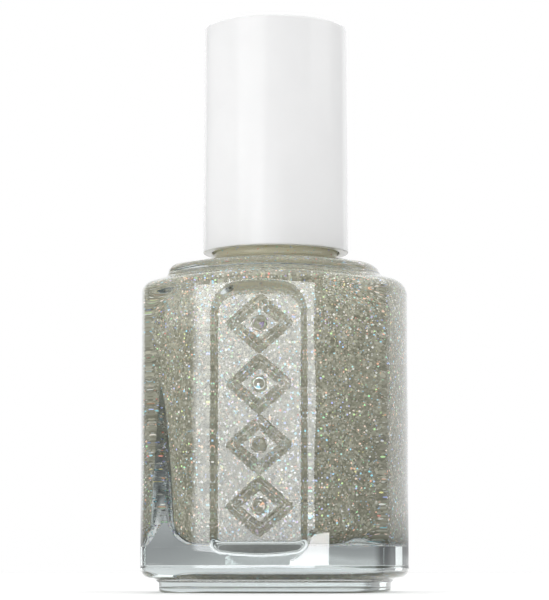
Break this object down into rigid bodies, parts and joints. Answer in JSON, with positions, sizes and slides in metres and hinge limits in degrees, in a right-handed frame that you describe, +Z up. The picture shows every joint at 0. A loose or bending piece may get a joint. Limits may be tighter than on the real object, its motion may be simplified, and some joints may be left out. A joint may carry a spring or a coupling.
{
  "type": "nail polish bottle",
  "caption": "Square thick-walled glass bottle of glitter nail polish with a sunk front panel, threaded neck, and a tall white screw cap that carries the brush.",
  "frame": {"origin": "centre of the foot, on the surface the bottle stands on", "axes": "+Z up along the neck and cap; the front with the sunk panel faces -Y; +X to the right seen from the front"},
  "size_m": [0.0334, 0.0334, 0.072],
  "materials": {
    "glass": "clear polished",
    "polish": "translucent lacquer with holographic glitter",
    "ball_steel": "polished steel",
    "label_paper": "matt paper, blank",
    "cap_plastic": "moulded gloss white",
    "closure_plastic": "moulded satin white",
    "stem_plastic": "moulded satin, milky",
    "staple_metal": "drawn wire",
    "bristle_nylon": "fine filaments"
  },
  "bodies": {
    "bottle": {"glass_bottle": "glass", "polish_fill": "polish", "mixing_balls": "ball_steel", "base_label": "label_paper"},
    "brush": {"brush_stem": "stem_plastic", "brush_staple": "staple_metal", "brush_bristles": "bristle_nylon"},
    "closure": {"outer_cap": "cap_plastic", "inner_cap": "closure_plastic"}
  },
  "joints": [
    {"name": "cap_lift", "type": "slide", "parent": "bottle", "child": "brush", "axis": [0, 0, 1], "range_m": [0, 0.055]},
    {"name": "cap_turn", "type": "hinge", "parent": "brush", "child": "closure", "pos_m": [0, 0, 0.05], "axis": [0, 0, 1], "range_deg": [0, 630]}
  ]
}
